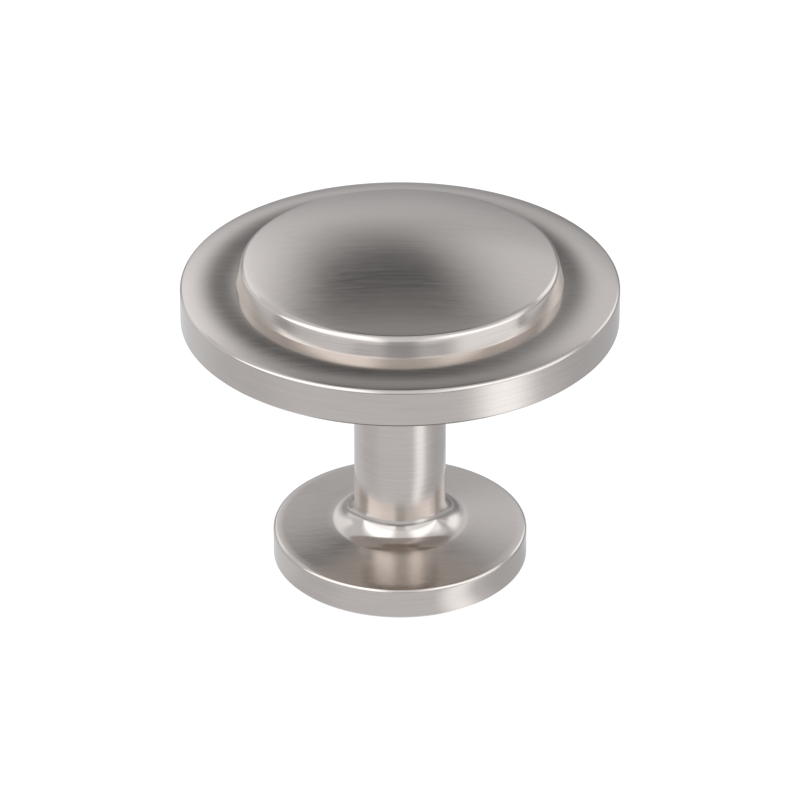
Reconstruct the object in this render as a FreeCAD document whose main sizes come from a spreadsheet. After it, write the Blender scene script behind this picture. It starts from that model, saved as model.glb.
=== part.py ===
import FreeCAD, Part
import math
import os

import Sketcher
from FreeCAD import Placement, Rotation, Vector

# Cabinet knob, cast in one piece and turned true about its own axis.
# The origin is the middle of the face that sits against the door.
# +Z runs out along the axis, and every length is in millimetres.

SIZES = {
    # Foot: a disc with a coned top that a cove runs up into the stem
    "foot_diameter": 18.95,
    "foot_edge_height": 2.44,
    "foot_top_slope": 6.6,
    "foot_edge_round": 0.30,
    "foot_heel_chamfer": 0.20,
    "cove_radius": 1.92,
    "stem_diameter": 6.80,
    # Head: a flange whose top is a shallow ring, round a raised disc
    "head_diameter": 32.0,
    "flange_underside_height": 20.07,
    "rim_height": 2.86,
    "rim_edge_round": 0.30,
    "rim_heel_chamfer": 0.20,
    "flange_crest_diameter": 26.20,
    "flange_crest_radius": 11.0,
    # Raised disc with its leaning wall and domed face
    "disc_diameter": 23.00,
    "disc_height": 1.47,
    "disc_wall_lean": 15.0,
    "disc_edge_round": 0.50,
    "dome_radius": 58.0,
    # Tapped hole for the mounting screw, drawn at its tap drill size
    "screw_hole_diameter": 3.45,
    "screw_hole_depth": 14.0,
    "screw_hole_mouth_diameter": 4.40,
    "screw_hole_mouth_angle": 90.0,
    "drill_point_angle": 118.0,
}
EDGE_TOLERANCE = 1e-4

document = FreeCAD.newDocument("CabinetKnob")


def make_sheet(name, sizes):
    """Write each size into its own named cell."""
    sheet = document.addObject("Spreadsheet::Sheet", name)
    for row, (alias, value) in enumerate(sizes.items(), start=1):
        sheet.set(f"A{row}", alias)
        sheet.set(f"B{row}", str(value))
        sheet.setAlias(f"B{row}", alias)
    return sheet


def origin_plane(body, role):
    """The body's own origin plane of the given role."""
    for feature in body.Origin.OriginFeatures:
        if feature.Role == role:
            return feature
    raise ValueError(f"no origin plane {role}")


def new_sketch(body, name, role):
    """An empty sketch on one of the body's origin planes."""
    sketch = body.newObject("Sketcher::SketchObject", name)
    sketch.AttachmentSupport = [(origin_plane(body, role), "")]
    sketch.MapMode = "FlatFace"
    return sketch


def constrain(sketch, kind, *references):
    """Add a constraint that has no size of its own."""
    sketch.addConstraint(Sketcher.Constraint(kind, *references))


def dimension(sketch, name, formula, kind, *references):
    """Add a sketch dimension and bind it to a formula of the sheet's cells."""
    value = float(sketch.evalExpression(formula))
    index = sketch.addConstraint(Sketcher.Constraint(kind, *references, value))
    sketch.renameConstraint(index, name)
    sketch.setExpression(f"Constraints.{name}", formula)


def add_line(sketch, start, end):
    """A straight edge between two points of the sketch."""
    return sketch.addGeometry(Part.LineSegment(Vector(*start, 0), Vector(*end, 0)), False)


def add_arc(sketch, centre, outer, inner):
    """A round edge about a centre, from its outer end over to its inner end."""
    radius = math.dist(centre, outer)
    start = math.atan2(outer[1] - centre[1], outer[0] - centre[0])
    end = math.atan2(inner[1] - centre[1], inner[0] - centre[0])
    circle = Part.Circle(Vector(*centre, 0), Vector(0, 0, 1), radius)
    return sketch.addGeometry(Part.ArcOfCircle(circle, start, end), False)


def add_circle(sketch, centre, radius):
    """A full circle of the sketch."""
    return sketch.addGeometry(Part.Circle(Vector(*centre, 0), Vector(0, 0, 1), radius), False)


def add_corner(sketch, place, first, second):
    """The point where two edges would meet if they ran on past their ends."""
    corner = sketch.addGeometry(Part.Point(Vector(*place, 0)), True)
    constrain(sketch, "PointOnObject", *start_of(corner), first)
    constrain(sketch, "PointOnObject", *start_of(corner), second)
    return corner


def start_of(edge):
    """Reference to the start point of an edge, or to a lone point."""
    return edge, 1


def end_of(edge):
    """Reference to the end point of an edge."""
    return edge, 2


def centre_of(edge):
    """Reference to the centre point of a round edge."""
    return edge, 3


def origin_point():
    """Reference to the sketch's origin."""
    return -1, 1


def knob_axis():
    """Reference to the sketch's upright axis, which is the knob's axis."""
    return -2


def under(radius, reach):
    """How far under a point at this reach the centre of an arch of this radius lies."""
    return math.sqrt(radius**2 - reach**2)


def toward(place, direction, distance):
    """The point at a distance from a place in a unit direction."""
    return (place[0] + direction[0] * distance, place[1] + direction[1] * distance)


def from_centre(centre, point):
    """Unit direction from a centre to a point."""
    length = math.dist(centre, point)
    return ((point[0] - centre[0]) / length, (point[1] - centre[1]) / length)


def round_places(corner, lean, radius, arch_centre, arch_radius):
    """Centre and two ends of the round inside a wall and an arch.

    The wall leans by an angle from upright, and meets the arch at the corner.
    """
    down = (math.sin(lean), -math.cos(lean))
    inward = (-math.cos(lean), -math.sin(lean))
    beside = toward(corner, inward, radius)
    offset = (beside[0] - arch_centre[0], beside[1] - arch_centre[1])
    along = offset[0] * down[0] + offset[1] * down[1]
    beyond = offset[0]**2 + offset[1]**2 - (arch_radius - radius)**2
    centre = toward(beside, down, -along - math.sqrt(along**2 - beyond))
    wall_end = toward(centre, inward, -radius)
    arch_end = toward(centre, from_centre(arch_centre, centre), radius)
    return centre, wall_end, arch_end


def revolve(body, name, sketch):
    """Turn a sketched half section about the knob's axis."""
    turned = body.newObject("PartDesign::Revolution", name)
    turned.Profile = sketch
    turned.ReferenceAxis = (sketch, ["V_Axis"])
    turned.Angle = 360.0
    document.recompute()
    return turned


def circle_edges(feature, diameter, height):
    """Names of the feature's round edges of one diameter at one height."""
    names = []
    for number, edge in enumerate(feature.Shape.Edges, start=1):
        if edge.Degenerated or not isinstance(edge.Curve, Part.Circle):
            continue
        curve = edge.Curve
        same_size = abs(2.0 * curve.Radius - diameter) < EDGE_TOLERANCE
        if same_size and abs(curve.Center.z - height) < EDGE_TOLERANCE:
            names.append(f"Edge{number}")
    if not names:
        raise ValueError(f"no round edge of diameter {diameter} at height {height}")
    return names


def bevel(body, name, base, edges, cell):
    """Take the named sharp edges of a feature off by the size in a cell."""
    chamfer = body.newObject("PartDesign::Chamfer", name)
    chamfer.Base = (base, edges)
    chamfer.setExpression("Size", f"Sizes.{cell}")
    document.recompute()
    return chamfer


def foot_sketch(body):
    """Half section of the foot: flat face, wall, rounded edge, coned top and its cove."""
    sketch = new_sketch(body, "foot_outline", "XZ_Plane")
    reach = SIZES["foot_diameter"] / 2.0
    height = SIZES["foot_edge_height"]
    slope = math.radians(SIZES["foot_top_slope"])
    up = (math.sin(slope), math.cos(slope))
    rounding = SIZES["foot_edge_round"]
    drop = rounding * (1.0 - up[0]) / up[1]
    centre = (reach - rounding, height - drop)
    wall_end = (reach, centre[1])
    cone_low = toward(centre, up, rounding)
    stem = SIZES["stem_diameter"] / 2.0
    hollow = SIZES["cove_radius"]
    rise = (hollow + (reach - stem - hollow) * up[0]) / up[1]
    cove_centre = (stem + hollow, height + rise)
    cove_top = (stem, cove_centre[1])
    cone_high = toward(cove_centre, up, -hollow)
    neck = (0.0, cove_top[1])
    apex_place = (0.0, height + reach * math.tan(slope))
    face = add_line(sketch, (0.0, 0.0), (reach, 0.0))
    wall = add_line(sketch, (reach, 0.0), wall_end)
    edge = add_arc(sketch, centre, wall_end, cone_low)
    cone = add_line(sketch, cone_low, cone_high)
    cove = add_arc(sketch, cove_centre, cove_top, cone_high)
    top = add_line(sketch, cove_top, neck)
    axis = add_line(sketch, neck, (0.0, 0.0))
    constrain(sketch, "Coincident", *start_of(face), *origin_point())
    constrain(sketch, "Coincident", *end_of(face), *start_of(wall))
    constrain(sketch, "Tangent", *end_of(wall), *start_of(edge))
    constrain(sketch, "Tangent", *end_of(edge), *start_of(cone))
    constrain(sketch, "Tangent", *end_of(cone), *end_of(cove))
    constrain(sketch, "Coincident", *start_of(cove), *start_of(top))
    constrain(sketch, "Coincident", *end_of(top), *start_of(axis))
    constrain(sketch, "Coincident", *end_of(axis), *start_of(face))
    constrain(sketch, "Horizontal", face)
    constrain(sketch, "Vertical", wall)
    constrain(sketch, "Horizontal", top)
    constrain(sketch, "Vertical", axis)
    constrain(sketch, "PointOnObject", *centre_of(cove), top)
    corner = add_corner(sketch, (reach, height), wall, cone)
    apex = add_corner(sketch, apex_place, cone, knob_axis())
    dimension(sketch, "face_reach", "Sizes.foot_diameter / 2",
              "DistanceX", *start_of(face), *end_of(face))
    dimension(sketch, "edge_height", "Sizes.foot_edge_height",
              "DistanceY", *origin_point(), *start_of(corner))
    dimension(sketch, "cone_rise", "Sizes.foot_diameter / 2 * tan(Sizes.foot_top_slope)",
              "DistanceY", *start_of(corner), *start_of(apex))
    dimension(sketch, "edge_round", "Sizes.foot_edge_round", "Radius", edge)
    dimension(sketch, "neck_reach", "Sizes.stem_diameter / 2",
              "DistanceX", *end_of(top), *start_of(top))
    dimension(sketch, "cove_hollow", "Sizes.cove_radius", "Radius", cove)
    return sketch


def stem_sketch(body):
    """Half section of the stem, from the foot's face to the head."""
    sketch = new_sketch(body, "stem_outline", "XZ_Plane")
    radius = SIZES["stem_diameter"] / 2.0
    height = SIZES["flange_underside_height"]
    bottom = add_line(sketch, (0.0, 0.0), (radius, 0.0))
    wall = add_line(sketch, (radius, 0.0), (radius, height))
    top = add_line(sketch, (radius, height), (0.0, height))
    axis = add_line(sketch, (0.0, height), (0.0, 0.0))
    constrain(sketch, "Coincident", *start_of(bottom), *origin_point())
    constrain(sketch, "Coincident", *end_of(bottom), *start_of(wall))
    constrain(sketch, "Coincident", *end_of(wall), *start_of(top))
    constrain(sketch, "Coincident", *end_of(top), *start_of(axis))
    constrain(sketch, "Coincident", *end_of(axis), *start_of(bottom))
    constrain(sketch, "Horizontal", bottom)
    constrain(sketch, "Vertical", wall)
    constrain(sketch, "Horizontal", top)
    constrain(sketch, "Vertical", axis)
    dimension(sketch, "stem_reach", "Sizes.stem_diameter / 2",
              "DistanceX", *start_of(bottom), *end_of(bottom))
    dimension(sketch, "stem_height", "Sizes.flange_underside_height",
              "DistanceY", *start_of(wall), *end_of(wall))
    return sketch


def head_sketch(body):
    """Half section of the head: underside, rim, ringed flange, disc wall and dome."""
    sketch = new_sketch(body, "head_outline", "XZ_Plane")
    reach = SIZES["head_diameter"] / 2.0
    low = SIZES["flange_underside_height"]
    rim_place = (reach, low + SIZES["rim_height"])
    crest = SIZES["flange_crest_diameter"] / 2.0
    sweep = SIZES["flange_crest_radius"]
    crest_centre = (crest, rim_place[1] - under(sweep, reach - crest))
    rim_centre, rim_end, flange_end = round_places(
        rim_place, 0.0, SIZES["rim_edge_round"], crest_centre, sweep)
    lean = math.radians(SIZES["disc_wall_lean"])
    disc = SIZES["disc_diameter"] / 2.0
    foot_reach = disc + SIZES["disc_height"] * math.tan(lean)
    foot_place = (foot_reach, crest_centre[1] + under(sweep, crest - foot_reach))
    disc_place = (disc, foot_place[1] + SIZES["disc_height"])
    dome = SIZES["dome_radius"]
    dome_centre = (0.0, disc_place[1] - under(dome, disc))
    apex = (0.0, dome_centre[1] + dome)
    disc_centre, wall_end, dome_end = round_places(
        disc_place, lean, SIZES["disc_edge_round"], dome_centre, dome)
    underside = add_line(sketch, (0.0, low), (reach, low))
    rim = add_line(sketch, (reach, low), rim_end)
    rim_edge = add_arc(sketch, rim_centre, rim_end, flange_end)
    flange = add_arc(sketch, crest_centre, flange_end, foot_place)
    wall = add_line(sketch, foot_place, wall_end)
    disc_edge = add_arc(sketch, disc_centre, wall_end, dome_end)
    face = add_arc(sketch, dome_centre, dome_end, apex)
    axis = add_line(sketch, apex, (0.0, low))
    constrain(sketch, "PointOnObject", *start_of(underside), knob_axis())
    constrain(sketch, "Coincident", *end_of(underside), *start_of(rim))
    constrain(sketch, "Tangent", *end_of(rim), *start_of(rim_edge))
    constrain(sketch, "Tangent", *end_of(rim_edge), *start_of(flange))
    constrain(sketch, "Coincident", *end_of(flange), *start_of(wall))
    constrain(sketch, "Tangent", *end_of(wall), *start_of(disc_edge))
    constrain(sketch, "Tangent", *end_of(disc_edge), *start_of(face))
    constrain(sketch, "Coincident", *end_of(face), *start_of(axis))
    constrain(sketch, "Coincident", *end_of(axis), *start_of(underside))
    constrain(sketch, "Horizontal", underside)
    constrain(sketch, "Vertical", rim)
    constrain(sketch, "Vertical", axis)
    constrain(sketch, "PointOnObject", *centre_of(face), knob_axis())
    rim_corner = add_corner(sketch, rim_place, rim, flange)
    disc_corner = add_corner(sketch, disc_place, wall, face)
    dimension(sketch, "underside_height", "Sizes.flange_underside_height",
              "DistanceY", *origin_point(), *start_of(underside))
    dimension(sketch, "rim_reach", "Sizes.head_diameter / 2",
              "DistanceX", *start_of(underside), *end_of(underside))
    dimension(sketch, "rim_height", "Sizes.rim_height",
              "DistanceY", *start_of(rim), *start_of(rim_corner))
    dimension(sketch, "rim_round", "Sizes.rim_edge_round", "Radius", rim_edge)
    dimension(sketch, "crest_reach", "Sizes.flange_crest_diameter / 2",
              "DistanceX", *origin_point(), *centre_of(flange))
    dimension(sketch, "crest_radius", "Sizes.flange_crest_radius", "Radius", flange)
    dimension(sketch, "disc_reach", "Sizes.disc_diameter / 2",
              "DistanceX", *origin_point(), *start_of(disc_corner))
    dimension(sketch, "wall_overhang", "Sizes.disc_height * tan(Sizes.disc_wall_lean)",
              "DistanceX", *start_of(disc_corner), *start_of(wall))
    dimension(sketch, "disc_height", "Sizes.disc_height",
              "DistanceY", *start_of(wall), *start_of(disc_corner))
    dimension(sketch, "disc_round", "Sizes.disc_edge_round", "Radius", disc_edge)
    dimension(sketch, "dome_radius", "Sizes.dome_radius", "Radius", face)
    return sketch


def cut_screw_hole(body):
    """Drill the blind screw hole up from the foot's face, with a chamfered mouth."""
    sketch = new_sketch(body, "screw_hole_centre", "XY_Plane")
    ring = add_circle(sketch, (0.0, 0.0), SIZES["screw_hole_diameter"] / 2.0)
    constrain(sketch, "Coincident", *centre_of(ring), *origin_point())
    dimension(sketch, "hole_diameter", "Sizes.screw_hole_diameter", "Diameter", ring)
    document.recompute()
    solid_before = body.Shape.Volume
    hole = body.newObject("PartDesign::Hole", "screw_hole")
    hole.Profile = sketch
    hole.DepthType = "Dimension"
    hole.DrillPoint = "Angled"
    hole.HoleCutType = "Countersink"
    hole.HoleCutCustomValues = True
    hole.Reversed = True
    hole.setExpression("Diameter", "Sizes.screw_hole_diameter")
    hole.setExpression("Depth", "Sizes.screw_hole_depth")
    hole.setExpression("DrillPointAngle", "Sizes.drill_point_angle")
    hole.setExpression("HoleCutDiameter", "Sizes.screw_hole_mouth_diameter")
    hole.setExpression("HoleCutCountersinkAngle", "Sizes.screw_hole_mouth_angle")
    document.recompute()
    if body.Shape.Volume >= solid_before:
        raise ValueError("the screw hole cuts nothing")
    return hole


def make_knob():
    """The whole casting: foot, stem and head, then its bevelled heels and its hole."""
    body = document.addObject("PartDesign::Body", "knob")
    body.Label = "knob"
    body.Placement = Placement(Vector(0, 0, 0), Rotation())
    revolve(body, "foot", foot_sketch(body))
    revolve(body, "stem", stem_sketch(body))
    head = revolve(body, "head", head_sketch(body))

    edges = circle_edges(head, SIZES["foot_diameter"], 0.0)
    solid = bevel(body, "foot_heel", head, edges, "foot_heel_chamfer")
    edges = circle_edges(solid, SIZES["head_diameter"], SIZES["flange_underside_height"])
    bevel(body, "rim_heel", solid, edges, "rim_heel_chamfer")
    cut_screw_hole(body)
    return body


def check(body):
    """Stop if any feature failed or the body is not one sound solid."""
    document.recompute()
    for feature in document.Objects:
        if "Invalid" in feature.State or "Error" in feature.State:
            raise ValueError(f"{feature.Name} failed: {feature.State}")
    shape = body.Shape
    if shape.isNull() or not shape.isValid() or len(shape.Solids) != 1:
        raise ValueError(f"{body.Label} is not one sound solid")


def main():
    make_sheet("Sizes", SIZES)
    document.recompute()
    knob = make_knob()
    check(knob)
    os.makedirs("parts", exist_ok=True)
    knob.Shape.exportStep(f"parts/{knob.Label}.step")
    box = knob.Shape.optimalBoundingBox()
    print(f"{knob.Label}: {box.XLength:.2f} x {box.YLength:.2f} x {box.ZLength:.2f} mm,"
          f" {knob.Shape.Volume:.0f} mm3, {len(knob.Shape.Faces)} faces")


main()
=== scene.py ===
"""Cabinet knob in brushed satin nickel, on a white floor under soft studio light."""
import math
from collections import namedtuple

import bpy
from bpy.props import FloatProperty, FloatVectorProperty, IntProperty, PointerProperty
from bpy.types import Operator, Panel, PropertyGroup
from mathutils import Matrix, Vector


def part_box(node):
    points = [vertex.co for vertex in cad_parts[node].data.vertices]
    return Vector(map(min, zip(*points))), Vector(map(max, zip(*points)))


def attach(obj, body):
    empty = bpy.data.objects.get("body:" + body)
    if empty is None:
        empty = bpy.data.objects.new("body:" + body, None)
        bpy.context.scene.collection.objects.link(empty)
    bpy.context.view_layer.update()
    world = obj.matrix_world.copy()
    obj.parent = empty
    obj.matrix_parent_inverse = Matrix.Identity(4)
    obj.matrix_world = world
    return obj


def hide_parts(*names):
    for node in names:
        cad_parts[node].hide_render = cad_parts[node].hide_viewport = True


bl_info = {
    "name": "Cabinet Knob",
    "version": (1, 0, 0),
    "blender": (4, 5, 0),
    "location": "View3D > Sidebar > Knob",
    "description": "Turns a cabinet knob, finishes it in satin nickel and sets its stage",
    "category": "Add Mesh",
}

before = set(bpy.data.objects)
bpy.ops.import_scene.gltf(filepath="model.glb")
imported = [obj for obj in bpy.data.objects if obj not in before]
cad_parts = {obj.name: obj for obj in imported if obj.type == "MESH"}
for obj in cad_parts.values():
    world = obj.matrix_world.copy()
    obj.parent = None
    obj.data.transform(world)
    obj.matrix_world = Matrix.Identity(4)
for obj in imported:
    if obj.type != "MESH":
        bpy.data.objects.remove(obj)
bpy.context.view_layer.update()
_, KNOB_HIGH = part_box("knob")

BODY = "root"
NODE = "knob"
MM = 0.001
PICTURE_WIDTH = 800.0
PIXELS_PER_MM = 13.563
FULL_TURN = 360.0
TO_DEGREES = 180.0 / math.pi

# Drilled end of the screw hole, and the shape of the thread's ridge in shares of its pitch
DRILL_HALF_ANGLE = math.radians(59.0)
RIDGE_START = 0.25
RIDGE_FLAT = 0.06
RIDGE_WIDTH = 0.98
RIDGE_SUNK = 0.04 * MM
RIDGE_STEPS = 64
MERGE_GAP = 0.002 * MM
RIDGE_MERGE_GAP = 0.0005 * MM
SMOOTH_ANGLE = math.radians(30.0)

# How far a face looks up, from -1 to 1, to count as a face of each kind
DOWN_FACE = -0.9
LOW_EDGE = 0.28
HIGH_EDGE = 0.96
UP_FACE = 0.55

# Spacing of the coarse brush marks against the fine ones, and the depth of the marks on
# the faces and on the polished parts against those round the walls
COARSER = 2.6
FACE_DEPTH = 0.12
POLISH_DEPTH = 0.25
NO_OFFSET = (0.0, 0.0, 0.0)

# Strength of all the light, at which the metal shows about its own colour, and the
# faint coolness of daylight soft boxes
LIGHT = 0.82
DAYLIGHT = (1.0, 1.03, 1.075, 1.0)
Softbox = namedtuple("Softbox", "low high left right lean soft level")
# Level of the room between the soft boxes, against the angle up from the back
# horizon, over the top and down to the front
ROOM_FROM = -12.0
ROOM_TO = 192.0
ROOM = ((-12, 0.60), (5, 0.54), (17, 0.84), (24, 0.44), (31, 0.18), (37, 0.10), (43, 0.20),
        (51, 0.52), (60, 0.22), (69, 0.18), (80, 0.90), (104, 1.06), (154, 1.15),
        (163, 0.90), (171, 0.95), (177, 0.52), (182, 0.40), (192, 0.50))
# Angles over the top and sideways, in degrees, the lean of the upright edges, the
# softness of all edges and the level inside
SOFTBOXES = (
    Softbox(-40.0, 14.0, 6.0, 32.0, 0.0, 6.0, 0.36),
    Softbox(-40.0, 18.0, -120.0, -38.0, 0.0, 8.0, 1.12),
    Softbox(14.0, 78.0, -120.0, -6.0, -0.16, 6.0, 0.96),
    Softbox(20.0, 43.0, -54.0, -9.5, -0.13, 6.0, 1.40),
    Softbox(19.0, 78.0, 1.5, 120.0, 0.30, 5.0, 0.62),
    Softbox(22.0, 46.0, 3.0, 120.0, 0.30, 5.0, 1.05),
    Softbox(10.0, 47.0, 28.0, 54.0, 0.0, 9.0, 1.72),
    Softbox(56.0, 110.0, 34.0, 120.0, 0.0, 10.0, 1.02),
    Softbox(72.0, 112.0, 50.0, 120.0, 0.0, 12.0, 1.65),
    Softbox(90.0, 130.0, -120.0, -34.0, 0.0, 14.0, 1.42),
    Softbox(104.0, 160.0, -120.0, -12.0, 0.0, 8.0, 2.30),
    Softbox(112.0, 156.0, 20.0, 120.0, 0.0, 11.0, 2.20),
    Softbox(160.0, 177.0, -120.0, -10.0, 0.0, 4.0, 1.90),
    Softbox(158.0, 178.0, 12.0, 120.0, 0.0, 4.0, 1.40),
    Softbox(176.0, 200.0, -120.0, -30.0, 0.0, 6.0, 0.90),
    Softbox(-60.0, -15.0, -120.0, 120.0, 0.0, 5.0, 0.92),
    Softbox(164.0, 240.0, 36.0, 120.0, 0.0, 9.0, 1.40),
)


# User settings

class KnobSizes(PropertyGroup):
    """Radii and heights of the turned outline, measured from the door face."""
    segments: IntProperty(
        name="Segments", description="Facets round the knob", default=288, min=48)
    foot_radius: FloatProperty(
        name="Foot radius", description="Radius of the foot's wall",
        default=9.475 * MM, subtype="DISTANCE", unit="LENGTH")
    foot_edge_height: FloatProperty(
        name="Foot edge height", description="Height of the foot's edge before rounding",
        default=2.44 * MM, subtype="DISTANCE", unit="LENGTH")
    foot_slope: FloatProperty(
        name="Foot slope", description="Slope of the foot's coned top",
        default=math.radians(6.6), subtype="ANGLE", unit="ROTATION")
    foot_round: FloatProperty(
        name="Foot edge round", description="Radius that rounds the foot's upper edge",
        default=0.30 * MM, subtype="DISTANCE", unit="LENGTH")
    heel_bevel: FloatProperty(
        name="Heel bevel", description="Bevel that breaks the lower edges of foot and head",
        default=0.20 * MM, subtype="DISTANCE", unit="LENGTH")
    collar_round: FloatProperty(
        name="Collar round", description="Radius that runs the stem out into the foot's top",
        default=1.92 * MM, subtype="DISTANCE", unit="LENGTH")
    stem_radius: FloatProperty(
        name="Stem radius", description="Radius of the stem",
        default=3.40 * MM, subtype="DISTANCE", unit="LENGTH")
    head_height: FloatProperty(
        name="Head underside", description="Height of the head's underside",
        default=20.07 * MM, subtype="DISTANCE", unit="LENGTH")
    head_radius: FloatProperty(
        name="Head radius", description="Radius of the head's rim",
        default=KNOB_HIGH[0], subtype="DISTANCE", unit="LENGTH")
    rim_height: FloatProperty(
        name="Rim height", description="Height of the rim before its edge is rounded",
        default=2.86 * MM, subtype="DISTANCE", unit="LENGTH")
    rim_round: FloatProperty(
        name="Rim round", description="Radius that rounds the rim's upper edge",
        default=0.30 * MM, subtype="DISTANCE", unit="LENGTH")
    crest_radius: FloatProperty(
        name="Crest radius", description="Where the flange's ring is highest",
        default=13.10 * MM, subtype="DISTANCE", unit="LENGTH")
    crest_sweep: FloatProperty(
        name="Crest sweep", description="Radius of the arch across the flange",
        default=11.0 * MM, subtype="DISTANCE", unit="LENGTH")
    disc_radius: FloatProperty(
        name="Disc radius", description="Radius of the raised disc's edge before rounding",
        default=11.50 * MM, subtype="DISTANCE", unit="LENGTH")
    disc_height: FloatProperty(
        name="Disc height", description="Height of the raised disc's edge over its foot",
        default=1.47 * MM, subtype="DISTANCE", unit="LENGTH")
    disc_lean: FloatProperty(
        name="Disc lean", description="How far the raised disc's wall leans in",
        default=math.radians(15.0), subtype="ANGLE", unit="ROTATION")
    disc_round: FloatProperty(
        name="Disc round", description="Radius that rounds the raised disc's edge",
        default=0.50 * MM, subtype="DISTANCE", unit="LENGTH")
    dome_radius: FloatProperty(
        name="Dome radius", description="Radius of the domed face",
        default=58.0 * MM, subtype="DISTANCE", unit="LENGTH")
    mouth_radius: FloatProperty(
        name="Hole mouth", description="Radius of the screw hole's countersunk mouth",
        default=2.20 * MM, subtype="DISTANCE", unit="LENGTH")
    hole_depth: FloatProperty(
        name="Hole depth", description="Depth of the screw hole's straight part",
        default=14.0 * MM, subtype="DISTANCE", unit="LENGTH")
    thread_root: FloatProperty(
        name="Thread root", description="Radius at the bottom of the thread's grooves",
        default=2.083 * MM, subtype="DISTANCE", unit="LENGTH")
    thread_crest: FloatProperty(
        name="Thread crest", description="Radius at the thread's inner crests",
        default=1.725 * MM, subtype="DISTANCE", unit="LENGTH")
    thread_pitch: FloatProperty(
        name="Thread pitch", description="Rise of the thread in one turn",
        default=0.794 * MM, subtype="DISTANCE", unit="LENGTH")
    thread_turns: IntProperty(
        name="Thread turns", description="Number of turns in the hole", default=15, min=1)


class NickelFinish(PropertyGroup):
    """Colour and brushing of the satin nickel."""
    nickel: FloatVectorProperty(
        name="Nickel", description="Colour of the plated metal",
        default=(0.610, 0.556, 0.512), size=3, min=0.0, max=1.0, subtype="COLOR")
    roughness: FloatProperty(
        name="Roughness", description="Softness of the brushed faces' reflections",
        default=0.18, min=0.0, max=1.0)
    collar_roughness: FloatProperty(
        name="Collar roughness", description="Softness of the polished collar's reflections",
        default=0.13, min=0.0, max=1.0)
    grain_contrast: FloatProperty(
        name="Grain contrast", description="How far the brush marks lighten and darken",
        default=0.060, min=0.0, max=1.0)
    grain: FloatProperty(
        name="Grain width", description="Spacing of the brush marks",
        default=0.10 * MM, subtype="DISTANCE", unit="LENGTH")
    grain_length: FloatProperty(
        name="Grain length", description="Length of the brush marks",
        default=5.0 * MM, subtype="DISTANCE", unit="LENGTH")
    grain_depth: FloatProperty(
        name="Grain depth", description="Depth of the brush marks",
        default=0.00022 * MM, subtype="DISTANCE", unit="LENGTH", precision=6)


class KnobStage(PropertyGroup):
    """Floor, light and camera."""
    floor_radius: FloatProperty(
        name="Floor radius", description="Radius of the round white floor",
        default=100.0 * MM, subtype="DISTANCE", unit="LENGTH")
    distance: FloatProperty(
        name="Camera distance", description="From the camera to the middle of the view",
        default=335.0 * MM, subtype="DISTANCE", unit="LENGTH")
    elevation: FloatProperty(
        name="Camera elevation", description="How far the camera looks down",
        default=math.radians(30.0), subtype="ANGLE", unit="ROTATION")
    aim_height: FloatProperty(
        name="Aim height", description="Height of the middle of the view on the knob's axis",
        default=13.08 * MM, subtype="DISTANCE", unit="LENGTH")
    view_width: FloatProperty(
        name="View width", description="Width that the picture shows at the middle of the view",
        default=PICTURE_WIDTH / PIXELS_PER_MM * MM, subtype="DISTANCE", unit="LENGTH")


# Outline drawing

def clear_selection():
    """Leave edit mode and select nothing."""
    if bpy.context.object and bpy.context.object.mode != "OBJECT":
        bpy.ops.object.mode_set(mode="OBJECT")
    bpy.ops.object.select_all(action="DESELECT")


def start_outline(name, reach, height):
    """A new mesh in edit mode that holds a single selected point."""
    clear_selection()
    bpy.ops.mesh.primitive_plane_add(size=MM, location=(0.0, 0.0, 0.0))
    piece = bpy.context.object
    piece.name = name
    piece.data.name = name
    bpy.ops.object.mode_set(mode="EDIT")
    bpy.ops.mesh.select_mode(type="VERT")
    bpy.ops.mesh.select_all(action="SELECT")
    bpy.ops.mesh.merge(type="CENTER")
    bpy.ops.transform.translate(value=(reach, 0.0, height))
    return piece


class Outline:
    """Draws half of a turned outline: straight runs and round corners, point by point."""

    def __init__(self, name, reach, height):
        self.piece = start_outline(name, reach, height)
        self.place = (reach, height)

    def run_to(self, reach, height, parts=1):
        """Extrude a straight run to a place, in equal parts."""
        step = ((reach - self.place[0]) / parts, 0.0, (height - self.place[1]) / parts)
        for _ in range(parts):
            bpy.ops.mesh.extrude_region_move(TRANSFORM_OT_translate={"value": step})
        self.place = (reach, height)

    def turn_about(self, centre, end, parts):
        """Spin the last point about a centre until it reaches its end angle.

        Angles are measured from straight outwards, anticlockwise seen from the front.
        """
        radius = math.dist(centre, self.place)
        start = math.atan2(self.place[1] - centre[1], self.place[0] - centre[0])
        turn = (end - start + math.pi) % (2.0 * math.pi) - math.pi
        bpy.ops.mesh.spin(steps=parts, angle=turn, center=(centre[0], 0.0, centre[1]),
                          axis=(0.0, 1.0, 0.0))
        self.place = (centre[0] + radius * math.cos(end), centre[1] + radius * math.sin(end))

    def spin_round(self, segments):
        """Turn the drawn outline about the knob's axis, close it and leave edit mode."""
        bpy.ops.mesh.select_all(action="SELECT")
        bpy.ops.mesh.spin(steps=segments, angle=2.0 * math.pi, center=(0.0, 0.0, 0.0),
                          axis=(0.0, 0.0, 1.0))
        bpy.ops.mesh.select_all(action="SELECT")
        bpy.ops.mesh.remove_doubles(threshold=MERGE_GAP)
        bpy.ops.mesh.normals_make_consistent(inside=False)
        bpy.ops.object.mode_set(mode="OBJECT")
        return self.piece


def arch_height(centre_height, radius, reach):
    """Height of an arch at a reach from its own middle."""
    return centre_height + math.sqrt(radius**2 - reach**2)


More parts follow.
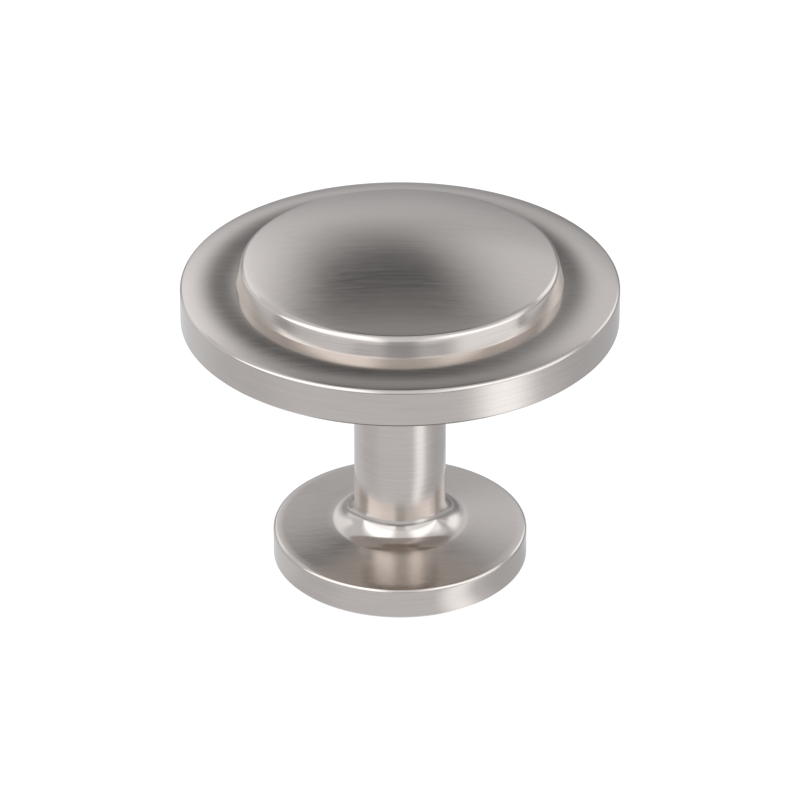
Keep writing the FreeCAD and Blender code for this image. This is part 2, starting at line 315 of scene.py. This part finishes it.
def edge_round(corner, lean, radius, arch_centre, arch_radius):
    """Centre of the round inside a leaning wall and the arch that meets it at a corner."""
    down = (math.sin(lean), -math.cos(lean))
    beside = (corner[0] - radius * math.cos(lean), corner[1] - radius * math.sin(lean))
    offset = (beside[0] - arch_centre[0], beside[1] - arch_centre[1])
    along = offset[0] * down[0] + offset[1] * down[1]
    beyond = offset[0]**2 + offset[1]**2 - (arch_radius - radius)**2
    fall = -along - math.sqrt(along**2 - beyond)
    return (beside[0] + fall * down[0], beside[1] + fall * down[1])


def bearing(centre, place):
    """Angle of a place seen from a centre, from straight outwards."""
    return math.atan2(place[1] - centre[1], place[0] - centre[0])


# Materials

# Sockets that have no name of their own, or share it: outputs of the texture
# coordinates and the light path, and the colour sockets of a mix
DIRECTION, OBJECT_PLACE = 0, 3
CAMERA_RAY, GLOSSY_RAY, CLEAR_RAY = 0, 3, 6
FIRST_COLOUR, SECOND_COLOUR, MIXED_COLOUR = 6, 7, 2


class Shade:
    """A number or vector socket that node maths can be written with."""

    def __init__(self, tree, socket):
        self.tree = tree
        self.socket = socket

    def maths(self, operation, *values):
        return self.tree.add("ShaderNodeMath", {"operation": operation}, values)[0]

    def __add__(self, other):
        return self.maths("ADD", self, other)

    def __radd__(self, other):
        return self.maths("ADD", other, self)

    def __sub__(self, other):
        return self.maths("SUBTRACT", self, other)

    def __rsub__(self, other):
        return self.maths("SUBTRACT", other, self)

    def __mul__(self, other):
        return self.maths("MULTIPLY", self, other)

    def __rmul__(self, other):
        return self.maths("MULTIPLY", other, self)

    def __truediv__(self, other):
        return self.maths("DIVIDE", self, other)

    def __rtruediv__(self, other):
        return self.maths("DIVIDE", other, self)

    def __neg__(self):
        return self.maths("MULTIPLY", self, -1.0)


class Nodes:
    """One node tree: every node is added through add()."""

    def __init__(self, tree):
        self.tree = tree
        tree.nodes.clear()

    def add(self, kind, settings=None, values=()):
        """Add a node, set it up, fill its inputs and return its outputs.

        Values are a sequence in socket order, or a dict of socket name to value. The
        setting named stops fills the node's colour ramp.
        """
        node = self.tree.nodes.new(kind)
        for name, value in (settings or {}).items():
            if name == "stops":
                self.set_stops(node.color_ramp, value)
            else:
                setattr(node, name, value)
        pairs = values.items() if isinstance(values, dict) else enumerate(values)
        for key, value in pairs:
            if isinstance(value, Shade):
                self.tree.links.new(value.socket, node.inputs[key])
            else:
                node.inputs[key].default_value = value
        return [Shade(self, socket) for socket in node.outputs]

    @staticmethod
    def set_stops(ramp, stops):
        """Fill a colour ramp with grey stops, each a place and a level."""
        ramp.interpolation = "EASE"
        while len(ramp.elements) < len(stops):
            ramp.elements.new(1.0)
        for element, (place, level) in zip(ramp.elements, stops):
            element.position = place
            element.color = (level, level, level, 1.0)

    def coordinates(self, output=OBJECT_PLACE):
        """Texture coordinates, by default a place on the object."""
        return self.add("ShaderNodeTexCoord")[output]

    def stretched(self, place, spacing, detail=2.0, roughness=0.55, offset=NO_OFFSET):
        """Noise from 0 to 1 whose marks have the given spacing along x, y and z."""
        scale = tuple(1.0 / step for step in spacing)
        mapped = self.add("ShaderNodeMapping", {},
                          {"Vector": place, "Location": offset, "Scale": scale})[0]
        return self.add("ShaderNodeTexNoise", {"noise_dimensions": "3D"},
                        {"Vector": mapped, "Scale": 1.0, "Detail": detail,
                         "Roughness": roughness})[0]

    def marks(self, place, spacing, offset):
        """Noise of the given spacing, spread to use the whole range from 0 to 1."""
        noise = self.stretched(place, spacing, detail=3.0, roughness=0.6, offset=offset)
        return self.ramp_between(noise, 0.28, 0.72)

    def ramp_between(self, value, low, high, at_low=0.0, at_high=1.0):
        """A smooth rise of a value from one level to another."""
        return self.add("ShaderNodeMapRange", {"interpolation_type": "SMOOTHSTEP"},
                        {"Value": value, "From Min": low, "From Max": high,
                         "To Min": at_low, "To Max": at_high})[0]

    def mix(self, factor, first, second):
        """A colour between two colours."""
        outputs = self.add("ShaderNodeMix", {"data_type": "RGBA"},
                           {"Factor": factor, FIRST_COLOUR: first, SECOND_COLOUR: second})
        return outputs[MIXED_COLOUR]


def new_material(name):
    """An empty node material and its tree."""
    material = bpy.data.materials.new(name)
    material.use_nodes = True
    return material, Nodes(material.node_tree)


def metal_surface(nodes, colour, roughness, height, depth):
    """Finish a metal material from its colour, roughness and height."""
    normal = nodes.add("ShaderNodeBump", {},
                       {"Strength": 1.0, "Distance": depth, "Height": height})[0]
    surface = nodes.add("ShaderNodeBsdfPrincipled", {}, {
        "Base Color": colour, "Metallic": 1.0, "Roughness": roughness, "Normal": normal})[0]
    nodes.add("ShaderNodeOutputMaterial", {}, {"Surface": surface})


def tint(colour, level):
    """A colour scaled by a level, with its alpha."""
    return tuple(channel * level for channel in colour) + (1.0,)


def brushed_nickel(name, finish, spacing, depth):
    """Nickel with brush marks of a spacing along x, y and z, and of a depth."""
    material, nodes = new_material(name)
    place = nodes.coordinates()
    fine = nodes.marks(place, spacing, NO_OFFSET)
    coarse = nodes.marks(place, tuple(COARSER * step for step in spacing), (3.1, 5.7, 1.3))
    cloud = nodes.marks(place, (6.0 * MM,) * 3, (8.0, 2.0, 4.0))
    streak = fine * 0.6 + coarse * 0.4
    colour = nodes.mix(streak * 0.8 + cloud * 0.2,
                       tint(finish.nickel, 1.0 - finish.grain_contrast),
                       tint(finish.nickel, 1.0 + finish.grain_contrast))
    roughness = (streak - 0.5) * 0.06 + (cloud - 0.5) * 0.03 + finish.roughness
    metal_surface(nodes, colour, roughness, streak, depth)
    return material


def polished_nickel(name, finish):
    """Smooth nickel for the collar, with only the faintest turning marks."""
    material, nodes = new_material(name)
    place = nodes.coordinates()
    rings = nodes.marks(place, (5.0 * MM, 5.0 * MM, 0.10 * MM), NO_OFFSET)
    cloud = nodes.marks(place, (2.5 * MM,) * 3, (4.0, 9.0, 2.0))
    colour = nodes.mix(cloud, tint(finish.nickel, 0.98), tint(finish.nickel, 1.02))
    roughness = (cloud - 0.5) * 0.03 + finish.collar_roughness
    metal_surface(nodes, colour, roughness, rings, finish.grain_depth * POLISH_DEPTH)
    return material


def faced_nickel(name, finish):
    """Nickel faced on the lathe: fine rings about the knob's axis."""
    material, nodes = new_material(name)
    place = nodes.coordinates()
    flat = nodes.add("ShaderNodeVectorMath", {"operation": "MULTIPLY"},
                     (place, (1.0, 1.0, 0.0)))[0]
    reach = nodes.add("ShaderNodeVectorMath", {"operation": "LENGTH"}, (flat,))[1]
    ring = nodes.add("ShaderNodeCombineXYZ", {}, (reach / finish.grain, 0.0, 0.0))[0]
    rings = nodes.add("ShaderNodeTexNoise", {"noise_dimensions": "3D"},
                      {"Vector": ring, "Scale": 1.0, "Detail": 2.0})[0]
    cloud = nodes.stretched(place, (5.0 * MM,) * 3, detail=2.0)
    colour = nodes.mix(cloud, tint(finish.nickel, 0.92), tint(finish.nickel, 1.0))
    roughness = (cloud - 0.5) * 0.06 + finish.roughness * 1.3
    metal_surface(nodes, colour, roughness, rings, finish.grain_depth)
    return material


# The knob

def draw_knob(sizes):
    """Half of the knob's outline, from the middle of its face to the end of its hole."""
    pen = head_outline(sizes)
    draw_stem_and_foot(pen, sizes)
    draw_hole(pen, sizes)
    return pen


def head_outline(s):
    """Dome, disc edge, leaning wall, ringed flange, rim and underside."""
    low = s.head_height
    rim_corner = (s.head_radius, low + s.rim_height)
    crest_centre = (s.crest_radius,
                    rim_corner[1] - arch_height(0.0, s.crest_sweep,
                                                s.head_radius - s.crest_radius))
    foot_reach = s.disc_radius + s.disc_height * math.tan(s.disc_lean)
    foot = (foot_reach, arch_height(crest_centre[1], s.crest_sweep,
                                    s.crest_radius - foot_reach))
    disc_corner = (s.disc_radius, foot[1] + s.disc_height)
    dome_centre = (0.0, disc_corner[1] - arch_height(0.0, s.dome_radius, s.disc_radius))
    disc_centre = edge_round(disc_corner, s.disc_lean, s.disc_round, dome_centre,
                             s.dome_radius)
    rim_centre = edge_round(rim_corner, 0.0, s.rim_round, crest_centre, s.crest_sweep)

    pen = Outline(NODE + "_metal", 0.0, dome_centre[1] + s.dome_radius)
    pen.turn_about(dome_centre, bearing(dome_centre, disc_centre), parts=24)
    pen.turn_about(disc_centre, s.disc_lean, parts=10)
    pen.run_to(*foot, parts=4)
    pen.turn_about(crest_centre, bearing(crest_centre, rim_centre), parts=20)
    pen.turn_about(rim_centre, 0.0, parts=9)
    pen.run_to(s.head_radius, low + s.heel_bevel, parts=5)
    pen.run_to(s.head_radius - s.heel_bevel, low)
    pen.run_to(s.stem_radius, low, parts=12)
    return pen


def draw_stem_and_foot(pen, s):
    """Stem, collar, coned foot, its wall and its lower edge."""
    up = (math.sin(s.foot_slope), math.cos(s.foot_slope))
    collar_reach = s.stem_radius + s.collar_round
    rise = (s.collar_round + (s.foot_radius - collar_reach) * up[0]) / up[1]
    collar_centre = (collar_reach, s.foot_edge_height + rise)
    drop = s.foot_round * (1.0 - up[0]) / up[1]
    edge_centre = (s.foot_radius - s.foot_round, s.foot_edge_height - drop)
    cone_low = (edge_centre[0] + s.foot_round * up[0], edge_centre[1] + s.foot_round * up[1])
    pen.run_to(s.stem_radius, collar_centre[1], parts=14)
    pen.turn_about(collar_centre, -0.5 * math.pi - s.foot_slope, parts=24)
    pen.run_to(*cone_low, parts=8)
    pen.turn_about(edge_centre, 0.0, parts=8)
    pen.run_to(s.foot_radius, s.heel_bevel, parts=4)
    pen.run_to(s.foot_radius - s.heel_bevel, 0.0)


def draw_hole(pen, s):
    """Flat face, countersunk mouth, bore at the thread's root and drilled end."""
    pen.run_to(s.mouth_radius, 0.0, parts=5)
    pen.run_to(s.thread_root, s.mouth_radius - s.thread_root)
    pen.run_to(s.thread_root, s.hole_depth - s.thread_pitch, parts=6)
    pen.run_to(s.thread_crest, s.hole_depth)
    pen.run_to(0.0, s.hole_depth + s.thread_crest / math.tan(DRILL_HALF_ANGLE), parts=2)


def add_thread(s):
    """The ridge of the thread, wound up the bore, with its base sunk in the wall."""
    half = 0.5 * s.thread_pitch
    base = s.thread_root + RIDGE_SUNK
    flat = RIDGE_FLAT * s.thread_pitch
    bottom = s.mouth_radius - s.thread_root + RIDGE_START * s.thread_pitch
    pen = Outline(NODE + "_thread", base, bottom)
    pen.run_to(s.thread_crest, bottom + half - flat)
    pen.run_to(s.thread_crest, bottom + half + flat)
    pen.run_to(base, bottom + s.thread_pitch * RIDGE_WIDTH)
    bpy.ops.mesh.select_all(action="SELECT")
    bpy.ops.mesh.edge_face_add()
    bpy.ops.object.mode_set(mode="OBJECT")
    ridge = pen.piece
    screw = ridge.modifiers.new("Winding", "SCREW")
    screw.steps = RIDGE_STEPS
    screw.render_steps = RIDGE_STEPS
    screw.iterations = s.thread_turns
    screw.screw_offset = s.thread_pitch
    screw.use_merge_vertices = False
    bpy.ops.object.modifier_apply(modifier=screw.name)
    return ridge


def close_thread(ridge):
    """Cap the two open ends of the wound ridge and face it outwards."""
    bpy.ops.object.mode_set(mode="EDIT")
    bpy.ops.mesh.select_all(action="SELECT")
    bpy.ops.mesh.remove_doubles(threshold=RIDGE_MERGE_GAP)
    bpy.ops.mesh.select_all(action="DESELECT")
    bpy.ops.mesh.select_non_manifold(extend=False, use_wire=False, use_boundary=True,
                                     use_multi_face=False, use_non_contiguous=False,
                                     use_verts=False)
    bpy.ops.mesh.edge_face_add()
    bpy.ops.mesh.select_all(action="SELECT")
    bpy.ops.mesh.normals_make_consistent(inside=False)
    bpy.ops.object.mode_set(mode="OBJECT")
    return ridge


def finish_faces(piece, s, finishes):
    """Give each face the finish of its place: top, side, collar and edges, or faced back."""
    for material in finishes:
        piece.data.materials.append(material)
    top, side, polished, faced = range(4)
    collar_reach = s.stem_radius + s.collar_round
    collar_start = s.stem_radius * 1.001
    collar_top = s.foot_edge_height + 2.5 * MM
    hole_top = s.hole_depth * 1.2
    for face in piece.data.polygons:
        reach = math.hypot(face.center.x, face.center.y)
        height = face.center.z
        if reach < s.mouth_radius and height < hole_top:
            face.material_index = faced
        elif face.normal.z < DOWN_FACE:
            face.material_index = faced
        elif collar_start < reach < collar_reach and height < collar_top:
            face.material_index = polished
        elif LOW_EDGE < face.normal.z < HIGH_EDGE:
            face.material_index = polished
        elif face.normal.z > UP_FACE:
            face.material_index = top
        else:
            face.material_index = side


class KNOB_OT_turn(Operator):
    """Turn the whole knob, cut its threaded hole and brush it"""
    bl_idname = "mesh.knob_turn"
    bl_label = "Turn knob"
    bl_options = {"REGISTER", "UNDO"}

    def execute(self, context):
        sizes = context.scene.knob_sizes
        finish = context.scene.knob_finish
        knob = draw_knob(sizes).spin_round(sizes.segments)
        ridge = close_thread(add_thread(sizes))
        along, across = finish.grain_length, finish.grain
        finishes = (
            brushed_nickel("nickel_brushed_face", finish, (along, across, across),
                           finish.grain_depth * FACE_DEPTH),
            brushed_nickel("nickel_brushed_side", finish, (along, along, across),
                           finish.grain_depth),
            polished_nickel("nickel_polished_collar", finish),
            faced_nickel("nickel_faced_back", finish),
        )
        finish_faces(knob, sizes, finishes)
        ridge.data.materials.append(finishes[3])
        clear_selection()
        ridge.select_set(True)
        knob.select_set(True)
        context.view_layer.objects.active = knob
        bpy.ops.object.join()
        bpy.ops.object.shade_smooth_by_angle(angle=SMOOTH_ANGLE)
        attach(knob, BODY)
        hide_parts(NODE)
        return {"FINISHED"}


# The stage

def add_floor(stage):
    """A white floor that keeps the knob's soft shadow, with a glow in the metal that holds
    painted light and shade.
    """
    clear_selection()
    bpy.ops.mesh.primitive_circle_add(vertices=96, radius=stage.floor_radius,
                                      fill_type="NGON", location=(0.0, 0.0, 0.0))
    floor = bpy.context.object
    floor.name = "stage_floor"
    material, nodes = new_material("white_floor")
    path = nodes.add("ShaderNodeLightPath")
    glow = floor_glow(nodes)
    mirrored = nodes.add("ShaderNodeEmission", {}, {"Color": DAYLIGHT, "Strength": glow})[0]
    plain = nodes.add("ShaderNodeBsdfDiffuse", {}, {"Color": (0.80, 0.80, 0.80, 1.0)})[0]
    shadowed = nodes.add("ShaderNodeBsdfDiffuse", {}, {"Color": (0.20, 0.20, 0.20, 1.0)})[0]
    white = nodes.add("ShaderNodeEmission", {}, {"Strength": 0.90})[0]
    bright = nodes.add("ShaderNodeAddShader", {}, (shadowed, white))[0]
    surface = nodes.add("ShaderNodeMixShader", {},
                        (path[GLOSSY_RAY] + path[CLEAR_RAY], plain, mirrored))[0]
    surface = nodes.add("ShaderNodeMixShader", {}, (path[CAMERA_RAY], surface, bright))[0]
    nodes.add("ShaderNodeOutputMaterial", {}, {"Surface": surface})
    floor.data.materials.append(material)
    return floor


def floor_glow(nodes):
    """What the metal sees in the floor: a pale glow, a painted pool of light and painted shade.

    Directions on the floor are in degrees from straight in front, right being positive.
    """
    pool_side, left_side = 52.0, -85.0
    base_level, grazing_shade_level = 0.92, 0.45
    x, y, _ = nodes.add("ShaderNodeSeparateXYZ", {}, (nodes.coordinates(),))
    reach = x.maths("SQRT", x * x + y * y)
    turn = x.maths("ARCTAN2", x, -y) * TO_DEGREES
    facing = turn / nodes.ramp_between(reach, 11.0 * MM, 18.0 * MM, 0.58, 0.92)
    off_pool = facing.maths("ABSOLUTE", facing - pool_side)
    # Painted pool of light in the floor's glow, to the front right, weaker near the knob
    pool = (nodes.ramp_between(off_pool, 2.0, 24.0, 1.0, 0.0)
            * nodes.ramp_between(reach, 15.0 * MM, 50.0 * MM, 0.66, 0.92))
    # Painted shade in the floor's glow: dimmer patches to the right and to the left
    dim_right = (nodes.ramp_between(facing, 68.0, 100.0)
                 * nodes.ramp_between(facing, 145.0, 180.0, 1.0, 0.0) * 0.22)
    off_left = facing.maths("ABSOLUTE", facing - left_side)
    dim_left = nodes.ramp_between(off_left, 10.0, 40.0, 0.10, 0.0)
    level = pool - dim_right - dim_left + base_level
    # Painted shade in the floor's glow: it turns grey where the floor is seen at a grazing
    # angle
    grazing = nodes.add("ShaderNodeLayerWeight", {}, {"Blend": 0.5})[1]
    grazing_shade = nodes.ramp_between(grazing, 0.84, 0.93)
    return (level * (1.0 - grazing_shade) + grazing_shade_level * grazing_shade) * LIGHT


def room_level(nodes, over):
    """Level of the room at an angle over the top."""
    top = max(level for _, level in ROOM)
    span = ROOM_TO - ROOM_FROM
    stops = tuple(((place - ROOM_FROM) / span, level / top) for place, level in ROOM)
    place = (over - ROOM_FROM) / span
    return nodes.add("ShaderNodeValToRGB", {"stops": stops}, (place,))[0] * top


def add_softbox(nodes, over, sideways, box, level):
    """Lay a soft box over the light laid before it: its own level inside its soft edges."""
    across = sideways - (over - box.low) * box.lean
    past_low, past_high, past_left, past_right = (
        nodes.ramp_between(angle, edge - box.soft, edge + box.soft)
        for angle, edge in ((over, box.low), (over, box.high),
                            (across, box.left), (across, box.right)))
    inside = past_low * (1.0 - past_high) * past_left * (1.0 - past_right)
    return level + inside * (box.level - level)


def light_world():
    """Soft light from all round: soft boxes at the sides, behind, above and in front."""
    world = bpy.data.worlds.new("soft_studio")
    bpy.context.scene.world = world
    world.use_nodes = True
    nodes = Nodes(world.node_tree)
    x, y, z = nodes.add("ShaderNodeSeparateXYZ", {}, (nodes.coordinates(DIRECTION),))
    over = z.maths("ARCTAN2", z, y) * TO_DEGREES
    over = over + FULL_TURN * over.maths("LESS_THAN", over, -90.0)
    sideways = x.maths("ARCTAN2", x, z.maths("SQRT", z * z + y * y)) * TO_DEGREES
    level = room_level(nodes, over)
    for box in SOFTBOXES:
        level = add_softbox(nodes, over, sideways, box, level)
    seen = nodes.add("ShaderNodeLightPath")[CAMERA_RAY]
    level = level * LIGHT * (1.0 - seen) + seen
    light = nodes.add("ShaderNodeBackground", {}, {"Color": DAYLIGHT, "Strength": level})[0]
    nodes.add("ShaderNodeOutputWorld", {}, {"Surface": light})


def add_camera(stage):
    """The camera, square on to the front and looking down at the knob."""
    clear_selection()
    reach = stage.distance * math.cos(stage.elevation)
    rise = stage.distance * math.sin(stage.elevation)
    bpy.ops.object.camera_add(location=(0.0, -reach, stage.aim_height + rise),
                              rotation=(0.5 * math.pi - stage.elevation, 0.0, 0.0))
    camera = bpy.context.object
    camera.name = "knob_camera"
    camera.data.sensor_width = 36.0
    camera.data.lens = camera.data.sensor_width * stage.distance / stage.view_width
    camera.data.clip_start = 0.01
    camera.data.clip_end = 20.0
    bpy.context.scene.camera = camera
    return camera


class KNOB_OT_stage(Operator):
    """Add the floor, the soft light and the camera"""
    bl_idname = "scene.knob_stage"
    bl_label = "Set knob stage"
    bl_options = {"REGISTER", "UNDO"}

    def execute(self, context):
        stage = context.scene.knob_stage
        add_floor(stage)
        light_world()
        add_camera(stage)
        context.scene.view_settings.view_transform = "Standard"
        return {"FINISHED"}


class KNOB_PT_panel(Panel):
    """Sizes, finish and stage of the knob"""
    bl_label = "Cabinet knob"
    bl_idname = "KNOB_PT_panel"
    bl_space_type = "VIEW_3D"
    bl_region_type = "UI"
    bl_category = "Knob"

    def draw(self, context):
        layout = self.layout
        scene = context.scene
        for group, operator in ((scene.knob_sizes, KNOB_OT_turn.bl_idname),
                                (scene.knob_finish, None),
                                (scene.knob_stage, KNOB_OT_stage.bl_idname)):
            box = layout.box()
            for name in group.__annotations__:
                box.prop(group, name)
            if operator:
                box.operator(operator)


CLASSES = (KnobSizes, NickelFinish, KnobStage, KNOB_OT_turn, KNOB_OT_stage, KNOB_PT_panel)


def register():
    for cls in CLASSES:
        bpy.utils.register_class(cls)
    bpy.types.Scene.knob_sizes = PointerProperty(type=KnobSizes)
    bpy.types.Scene.knob_finish = PointerProperty(type=NickelFinish)
    bpy.types.Scene.knob_stage = PointerProperty(type=KnobStage)


def unregister():
    del bpy.types.Scene.knob_stage
    del bpy.types.Scene.knob_finish
    del bpy.types.Scene.knob_sizes
    for cls in reversed(CLASSES):
        bpy.utils.unregister_class(cls)


def main():
    register()
    bpy.ops.mesh.knob_turn()
    bpy.ops.scene.knob_stage()


if __name__ == "__main__":
    main()
